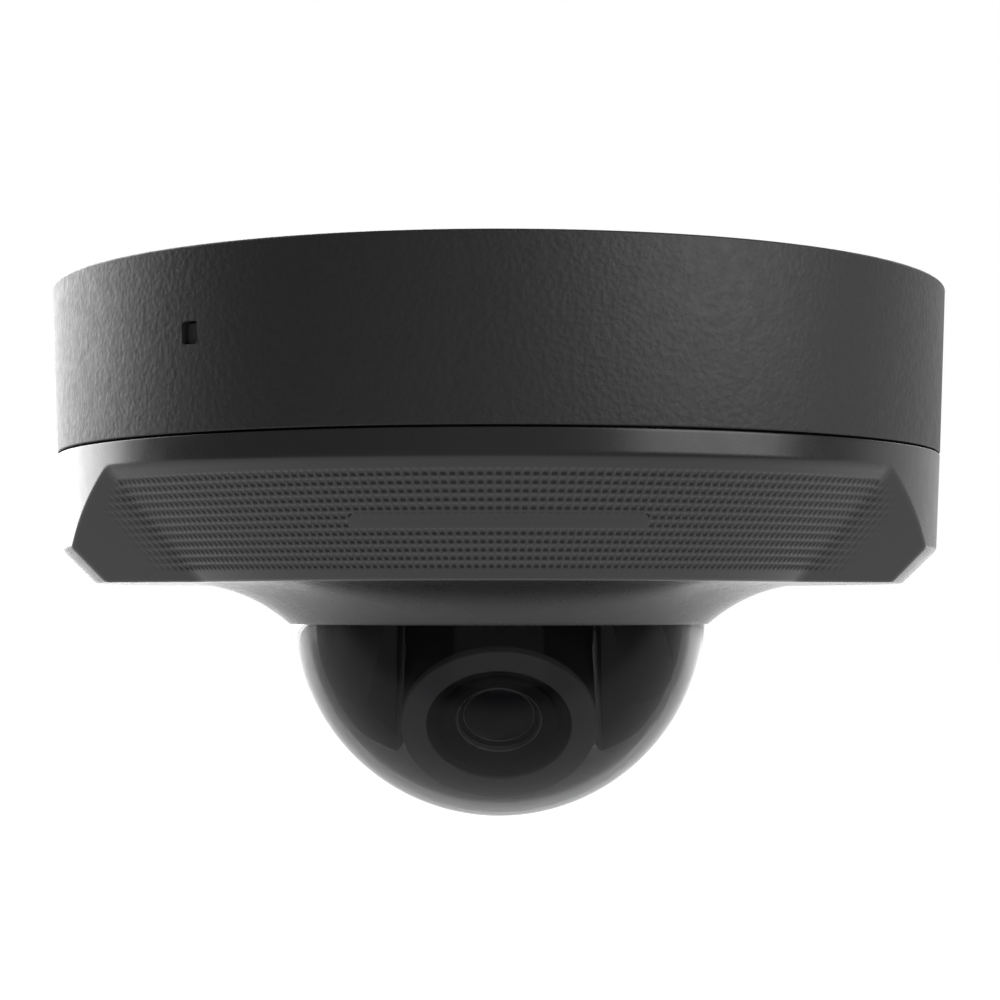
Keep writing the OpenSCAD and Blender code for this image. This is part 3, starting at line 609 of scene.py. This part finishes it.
def panel_radius(z):
    """The front panel's cone, continued above and below it."""
    share = (SEAM_Z - PANEL_TOP_Z) / (SEAM_Z - CHAMFER_Z)
    top_r = COVER_TOP_R - (COVER_TOP_R - COVER_LOW_R) * share
    return top_r - (top_r - PANEL_LOW_R) * (PANEL_TOP_Z - z) / (PANEL_TOP_Z - UNDERSIDE_Z)


def wall_radius(z):
    """The cover's side wall with its low chamfer."""
    wall = COVER_TOP_R - (COVER_TOP_R - COVER_LOW_R) * (SEAM_Z - z) / (SEAM_Z - CHAMFER_Z)
    chamfer = COVER_LOW_R - (COVER_LOW_R - UNDERSIDE_R) * (CHAMFER_Z - z) / (CHAMFER_Z - UNDERSIDE_Z)
    return soft_min(wall, chamfer, 0.4)


def pocket_depth(azimuth, z, facet_offset, edge_gap):
    """How deep the panel's pockets are at a place. They fade out over the facets."""
    row = (ROW_TOP_Z - z) / ROW_PITCH
    if not 0 <= row < ROWS:
        return 0
    if facet_offset is None:
        column = azimuth / COLUMN_PITCH
        strength = 1.0 if abs(column) < COLUMNS + 1.5 else 0.0
    else:
        column = CREASE_AZIMUTH / COLUMN_PITCH + facet_offset / FACET_COLUMN
        strength = (1 - facet_offset / FADE_REACH) * soft_step(edge_gap, 0.8, 2.6)
    if strength <= 0:
        return 0
    across = abs(column - math.floor(column + 0.5))
    along = row - math.floor(row)
    shape = soft_step(across, 0.46, 0.24) * soft_step(along, 0.02, 0.26) * soft_step(along, 0.98, 0.4)
    over = max(abs(azimuth) * math.radians(panel_radius(z)) - BAR_LENGTH, 0)
    clear = soft_step(math.hypot(over, z - BAR_Z), BAR_HALF, BAR_HALF + 0.15)
    return POCKET_DEPTH * strength * shape * clear


def cover_radius(azimuth, z, pattern):
    """Radius of the cover's outside at an azimuth from the front, in degrees, and a height."""
    cone, wall = panel_radius(z), wall_radius(z)
    turned = abs(azimuth)
    facet_offset = None
    panel = cone
    if turned > FACET_AZIMUTH:
        crease = math.radians(CREASE_AZIMUTH - FACET_AZIMUTH)
        swing = math.radians(turned - FACET_AZIMUTH)
        facet = cone * math.cos(crease) / max(math.cos(swing), 0.05)
        panel = -soft_min(-cone, -facet, 0.55)
        if turned > CREASE_AZIMUTH:
            facet_offset = facet * math.sin(swing) - cone * math.sin(crease)
    if pattern:
        panel -= 1.4 * pocket_depth(azimuth, z, facet_offset, wall - panel)
    radius = soft_min(panel, wall, 0.45)
    for gap, fillet in ((SEAM_Z - z, RIM_FILLET), (z - UNDERSIDE_Z, EDGE_FILLET)):
        if gap < fillet:
            radius -= fillet - math.sqrt(max(fillet ** 2 - (fillet - gap) ** 2, 0))
    return radius


def cover_skin(name, top_z, low_z, inset, pattern):
    """A solid inside the cover's outer surface, closed at a top and a low height."""
    step = COLUMN_PITCH / 8 if pattern else 1.2
    fine = round(74 / step)
    turns = [k * step for k in range(-fine, fine + 1)]
    left_over = 360 - 2 * turns[-1]
    plain = round(left_over / 0.8)
    turns += [turns[-1] + left_over * k / plain for k in range(1, plain)]
    low_row = ROW_TOP_Z - ROWS * ROW_PITCH
    if pattern:
        heights = [top_z - g for g in (0, 0.015, 0.06, 0.12, 0.2)]
        heights += [heights[-1] + (ROW_TOP_Z - heights[-1]) * k / 22 for k in range(1, 22)]
        heights += [ROW_TOP_Z - ROW_PITCH * k / 8 for k in range(ROWS * 8 + 1)]
        heights += [low_row + (low_z + 0.3 - low_row) * k / 6 for k in range(1, 6)]
        heights += [low_z + g for g in (0.3, 0.2, 0.12, 0.06, 0.015, 0)]
    else:
        heights = [top_z + (low_z - top_z) * k / 14 for k in range(15)]
    builder = bmesh.new()
    rows = []
    for z in heights:
        row = []
        for azimuth in turns:
            wrapped = azimuth if azimuth <= 180 else azimuth - 360
            radius = cover_radius(wrapped, z, pattern) - inset
            a = math.radians(azimuth)
            row.append(builder.verts.new((radius * math.sin(a), -radius * math.cos(a), z)))
        rows.append(row)
    count = len(turns)
    for here, there in zip(rows, rows[1:]):
        for i in range(count):
            j = (i + 1) % count
            builder.faces.new((here[i], here[j], there[j], there[i]))
    for row in (rows[0], rows[-1]):
        middle = builder.verts.new((0, 0, row[0].co.z))
        for i in range(count):
            builder.faces.new((row[i], row[(i + 1) % count], middle))
    return finish_mesh(name, builder)


def flare_arc():
    """The cover's underside from the level part down to the collar's edge."""
    centre = (FLARE_START_R, UNDERSIDE_Z - FLARE_R)
    end = 180 - math.degrees(math.asin((COVER_LOW_Z - centre[1]) / FLARE_R))
    return arc(centre, FLARE_R, 90, end, 24)


def make_cover():
    cover = cover_skin("cover_shell", SEAM_Z, UNDERSIDE_Z, 0, True)
    flare_top, spigot_low = -39, -24
    flare_outline = [
        (0, flare_top), (FLARE_START_R, flare_top), *flare_arc(), (OPENING_R - 0.5, COVER_LOW_Z),
        (0, COVER_LOW_Z),
    ]
    flare = lathe("flare", flare_outline, FORM_FACETS)
    spigot_outline = [(0, SPIGOT_Z), (SPIGOT_R, SPIGOT_Z, 0.3), (SPIGOT_R, spigot_low), (0, spigot_low)]
    spigot = lathe("spigot", rounded(spigot_outline), SHELL_FACETS)
    combine(cover, [flare, spigot], "UNION")
    inside = cover_skin("inside", -24.5, UNDERSIDE_Z + COVER_WALL, 2.9, False)
    combine(inside, [rod("neck", 56.6, -25, 0, segments=SHELL_FACETS)], "UNION")
    cover_spots = spots(COVER_SCREW_ANGLES, COVER_SCREW_CIRCLE)
    combine(inside, [rod("boss", 3.8, -60, 30, p) for p in cover_spots])
    dome_spots = spots(DOME_SCREW_ANGLES, DOME_SCREW_CIRCLE)
    openings = [
        rod("opening", OPENING_R, -60, 0, segments=SHELL_FACETS),
        rod("seat", SEAT_R, SEAT_Z, -30, segments=SHELL_FACETS),
        *[rod("screw", COVER_SCREW_R, -24.4, 0, p, SCREW_FACETS) for p in cover_spots],
        *[rod("screw", 1.06, -40.8, -30, p, SCREW_FACETS) for p in dome_spots],
    ]
    combine(cover, [inside, *openings])
    smooth(cover, 50)
    even = cover.modifiers.new("even", "WEIGHTED_NORMAL")
    even.keep_sharp = True
    return dress(cover, "cover")


# Dome

def make_dome():
    inner = DOME_R - DOME_WALL
    outer_arc = arc((0, DOME_Z), DOME_R, -90, 0, 72)
    inner_arc = arc((0, DOME_Z), inner, 0, -90, 72)
    flange_low = FLANGE_TOP_Z - 2
    outline = [
        (0, DOME_Z - DOME_R), *outer_arc[1:], (DOME_R, flange_low), (FLANGE_R, flange_low),
        (FLANGE_R, FLANGE_TOP_Z), (inner, FLANGE_TOP_Z), *inner_arc[:-1], (0, DOME_Z - inner),
    ]
    return dress(lathe("dome_bubble", outline, SHELL_FACETS), "dome")


# Gimbal

CHEEK_R = 26.2
CHEEK_X = 13.6
CHEEK_Y = (-15, 13)
CHEEK_TOP = -DOME_Z - 24
CHEEK_LOW = (14.6, -18.6)
CHEEK_SLOPE = 21.4
CHEEK_EDGE = (15.4, -15, -2.6)
CHEEK_CHAMFER = 0.9
CHEEK_SKIN = 1.8
CHEEK_WALL = 2.4
CHEEK_ROOF = 2.5
TICK_COUNT = 5
TICK_LOW_Z = -12.7
TICK_PITCH = 1.1
TICK_HEIGHT = 0.35


def cheek_form(radius, low_corner, high_corner, skin):
    """The solid that a cheek is cut from, about the dome's centre."""
    outline = [*arc((0, 0), radius, -90, 0, 64), (radius, CHEEK_TOP), (0, CHEEK_TOP)]
    form = lathe("form", outline, FORM_FACETS)
    combine(form, [block("span", low_corner, high_corner)], "INTERSECT")
    below = move(CHEEK_LOW[0], 0, CHEEK_LOW[1] + skin) @ turn(-CHEEK_SLOPE, "Y")
    beside = move(*CHEEK_EDGE) @ turn(-36.9) @ turn(-10, "Y")
    return combine(form, [
        block("below", (-40, -40, -60), (60, 40, 0), below),
        block("beside", (-skin, -60, -60), (60, 60, 60), beside),
    ])


def make_cheek(node, side):
    """One upright of the gimbal: hollow, with a pivot boss and index marks."""
    front_y, back_y = CHEEK_Y
    made = cheek_form(CHEEK_R, (CHEEK_X, front_y, -30), (40, back_y, 30), 0)
    low_corner = (CHEEK_X + CHEEK_WALL, front_y + CHEEK_WALL, -30)
    high_corner = (40, 40, CHEEK_TOP - CHEEK_ROOF)
    combine(made, [cheek_form(CHEEK_R - CHEEK_SKIN, low_corner, high_corner, CHEEK_SKIN)])
    pivots = move(0, 0, -PIVOT_DROP) @ turn(90, "Y")
    combine(made, [rod("boss", 4.6, CHEEK_X, 18.6, pivots)], "UNION")
    edge = move(CHEEK_LOW[0], front_y, CHEEK_LOW[1]) @ turn(-CHEEK_SLOPE, "Y") @ turn(45, "X")
    corner = move(CHEEK_X, front_y, 0) @ turn(45)
    tools = [
        rod("pivot", 2.55, CHEEK_X - 1, 20, pivots),
        block("chamfer", (-40, -9, -9), (40, CHEEK_CHAMFER / math.sqrt(2), 9), edge),
        block("chamfer", (-0.1, -9, -40), (0.1, 9, 40), corner),
    ]
    for i in range(TICK_COUNT):
        z = TICK_LOW_Z + TICK_PITCH * i
        end_x = CHEEK_X + (3.2 if i % 2 == 0 else 2.4)
        tools.append(block("tick", (CHEEK_X + 1.2, front_y - 1, z), (end_x, front_y + 0.3, z + TICK_HEIGHT)))
    combine(made, tools)
    shift(made, move(0, 0, DOME_Z) @ Matrix.Diagonal((side, 1, 1, 1)))
    smooth(made, 20)
    return dress(made, node, "pan")


# Eye

ALONG_AXIS = move(0, 0, DOME_Z - PIVOT_DROP) @ turn(90 + EYE_TILT, "X")


def on_axis(name, node, outline):
    """A turned piece of the eye."""
    made = lathe(name, outline, ROUND)
    shift(made, ALONG_AXIS)
    return dress(made, node, "eye")


def make_housing():
    front = EYE_REACH
    back = front - 1.2
    on_axis("window_plate", "front_window", rounded([
        (WINDOW_R, back), (EYE_R, back, 0.05), (EYE_R, front, 0.22), (WINDOW_R, front, 0.12),
    ]))
    on_axis("eye_shell", "eye_housing", rounded([
        (10.9, -6.2), (11.9, -6.2, 0.2), (11.9, 5.3), (EYE_R, 5.3, 0.2), (EYE_R, back - 0.05, 0.1),
        (11.9, back - 0.05), (11.9, 7.3), (10.9, 6.3),
    ]))


def make_baffle():
    """The ring between the window and the lens, with fine steps down its bore."""
    bore_r, outer_r, rear = 7.95, WINDOW_R - 0.1, 13
    steps = []
    for i in range(4):
        z = EYE_REACH - 1.1 - 0.45 * i
        steps += [(bore_r + 0.12, z), (bore_r, z - 0.12), (bore_r, z - 0.33)]
    top = EYE_REACH - 0.25
    on_axis("soft_baffle", "light_baffle", [
        (bore_r, rear), (outer_r, rear), (outer_r, top - 0.1), (outer_r - 0.1, top), (9.05, top), *steps,
    ])


def make_lens():
    front = EYE_REACH
    on_axis("barrel_turned", "lens_barrel", rounded([
        (5.8, front - 1.1), (7.0, front - 0.4, 0.1), (7.1, front - 0.3, 0.03), (7.55, front - 0.3, 0.1),
        (7.85, front - 0.6, 0.1), (7.85, 13.2), (5.9, 12.8), (5.9, 5), (4.9, 5), (4.9, 13.6), (5.75, 14),
        (5.75, front - 3), (6.2, front - 3), (6.2, front - 1.2), (5.8, front - 1.2),
    ]))
    ring = lathe("lens_bright_ring", rounded([
        (5.4, front - 1.8), (6.15, front - 1.8), (6.15, front - 1.3), (5.75, front - 1.3),
        (5.75, front - 1, 0.12), (5.5, front - 1, 0.12),
    ]), ROUND)
    # A thin bright metal bead at the glass's step is a painted highlight: it stands in for the glint on the
    # glass's inner edge.
    step_r, wire_r, bead_z = 4.7, 0.08, front - 2.05
    highlight_bead = [(step_r + wire_r * math.cos(a), bead_z + wire_r * math.sin(a)) for a in spread_turn(8)]
    combine(ring, [lathe("painted_highlight_bead", highlight_bead, ROUND)], "UNION")
    shift(ring, ALONG_AXIS)
    dress(ring, "lens_ring", "eye")
    edge_angle = math.degrees(math.asin(step_r / LENS_CURVE))
    crown = arc((0, LENS_APEX - LENS_CURVE), LENS_CURVE, 90 - edge_angle, 90)[:-1]
    rear, rim_z = front - 4.4, front - 2.5
    on_axis("lens_front", "front_lens", [
        (0, rear), (LENS_R, rear), (LENS_R, rim_z), (step_r + 0.2, rim_z),
        (step_r + 0.08, crown[0][1] - 0.12), *crown, (0, LENS_APEX),
    ])


# Stage

def make_camera():
    data = bpy.data.cameras.new("camera")
    data.lens = 81.59
    data.sensor_width = 36
    made = bpy.data.objects.new("camera", data)
    made.location = (0.00014, -0.322, -0.04331)
    made.rotation_euler = (math.radians(90 + 2.63), 0, 0)
    bpy.context.scene.collection.objects.link(made)
    bpy.context.scene.camera = made


def soft_lamp(name, place, target, size, radiance, mirrored=True):
    """A rectangular lamp that faces a target, and shows in reflections if it is mirrored."""
    data = bpy.data.lights.new(name, "AREA")
    data.shape = "RECTANGLE"
    data.size, data.size_y = size
    data.energy = radiance * math.pi * size[0] * size[1]
    made = bpy.data.objects.new(name, data)
    made.location = place
    made.rotation_euler = (Vector(target) - Vector(place)).to_track_quat("-Z", "Y").to_euler()
    made.visible_camera = False
    made.visible_glossy = mirrored
    bpy.context.scene.collection.objects.link(made)


def panel_lamp(name, azimuth, distance, size, radiance, middle_z):
    """A soft box that faces the camera body from a direction in degrees from the front."""
    a = math.radians(azimuth)
    place = (distance * math.sin(a), -distance * math.cos(a), middle_z)
    soft_lamp(name, place, (0, 0, middle_z), size, radiance)


def make_world():
    """A studio that is white behind, and lights the object mostly from behind and below."""
    world = bpy.data.worlds.new("studio")
    bpy.context.scene.world = world
    world.use_nodes = True
    nodes, links = world.node_tree.nodes, world.node_tree.links
    lit = nodes["Background"]
    seen = nodes.new("ShaderNodeBackground")
    for background in (lit, seen):
        background.inputs["Color"].default_value = (1, 1, 1, 1)
    seen.inputs["Strength"].default_value = 1.0
    toward = nodes.new("ShaderNodeVectorMath")
    toward.operation = "DOT_PRODUCT"
    toward.inputs[1].default_value = (0, 1, -0.9)
    links.new(nodes.new("ShaderNodeTexCoord").outputs["Generated"], toward.inputs[0])
    fade = nodes.new("ShaderNodeMapRange")
    fade.interpolation_type = "SMOOTHSTEP"
    limits = {"From Min": 0.02, "From Max": 0.35, "To Min": 0.17, "To Max": 0.85}
    for socket, value in limits.items():
        fade.inputs[socket].default_value = value
    links.new(toward.outputs["Value"], fade.inputs["Value"])
    links.new(fade.outputs["Result"], lit.inputs["Strength"])
    mixed = nodes.new("ShaderNodeMixShader")
    links.new(nodes.new("ShaderNodeLightPath").outputs["Is Camera Ray"], mixed.inputs[0])
    links.new(lit.outputs[0], mixed.inputs[1])
    links.new(seen.outputs[0], mixed.inputs[2])
    links.new(mixed.outputs[0], nodes["World Output"].inputs["Surface"])


def make_stage():
    view = bpy.context.scene.view_settings
    view.view_transform = "Standard"
    view.look = "None"
    floor = block("floor", (-6000, 1000, -610), (6000, 14000, -600))
    floor.data.materials.append(new_material("floor_pale", (0.93, 0.93, 0.93), 0.9))
    make_world()
    panel_lamp("right_box", 52, 1.0, (0.75, 1.1), 3.8, 0.48)
    panel_lamp("left_box", -140, 1.0, (1.3, 1.2), 4.6, 0.5)
    soft_lamp("front_fill", (0, -1.2, -0.5), (0, 0, -0.05), (1.2, 1.2), 2.2, mirrored=False)
    soft_lamp("floor_lamp", (0, 8.5, 2.6), (0, 8.5, 0), (10, 12), 2.5)


dress_frame()
make_camera()
make_ring()
make_spring()
make_cover()
make_dome()
make_cheek("right_cheek", 1)
make_cheek("left_cheek", -1)
make_housing()
make_baffle()
make_lens()
make_stage()
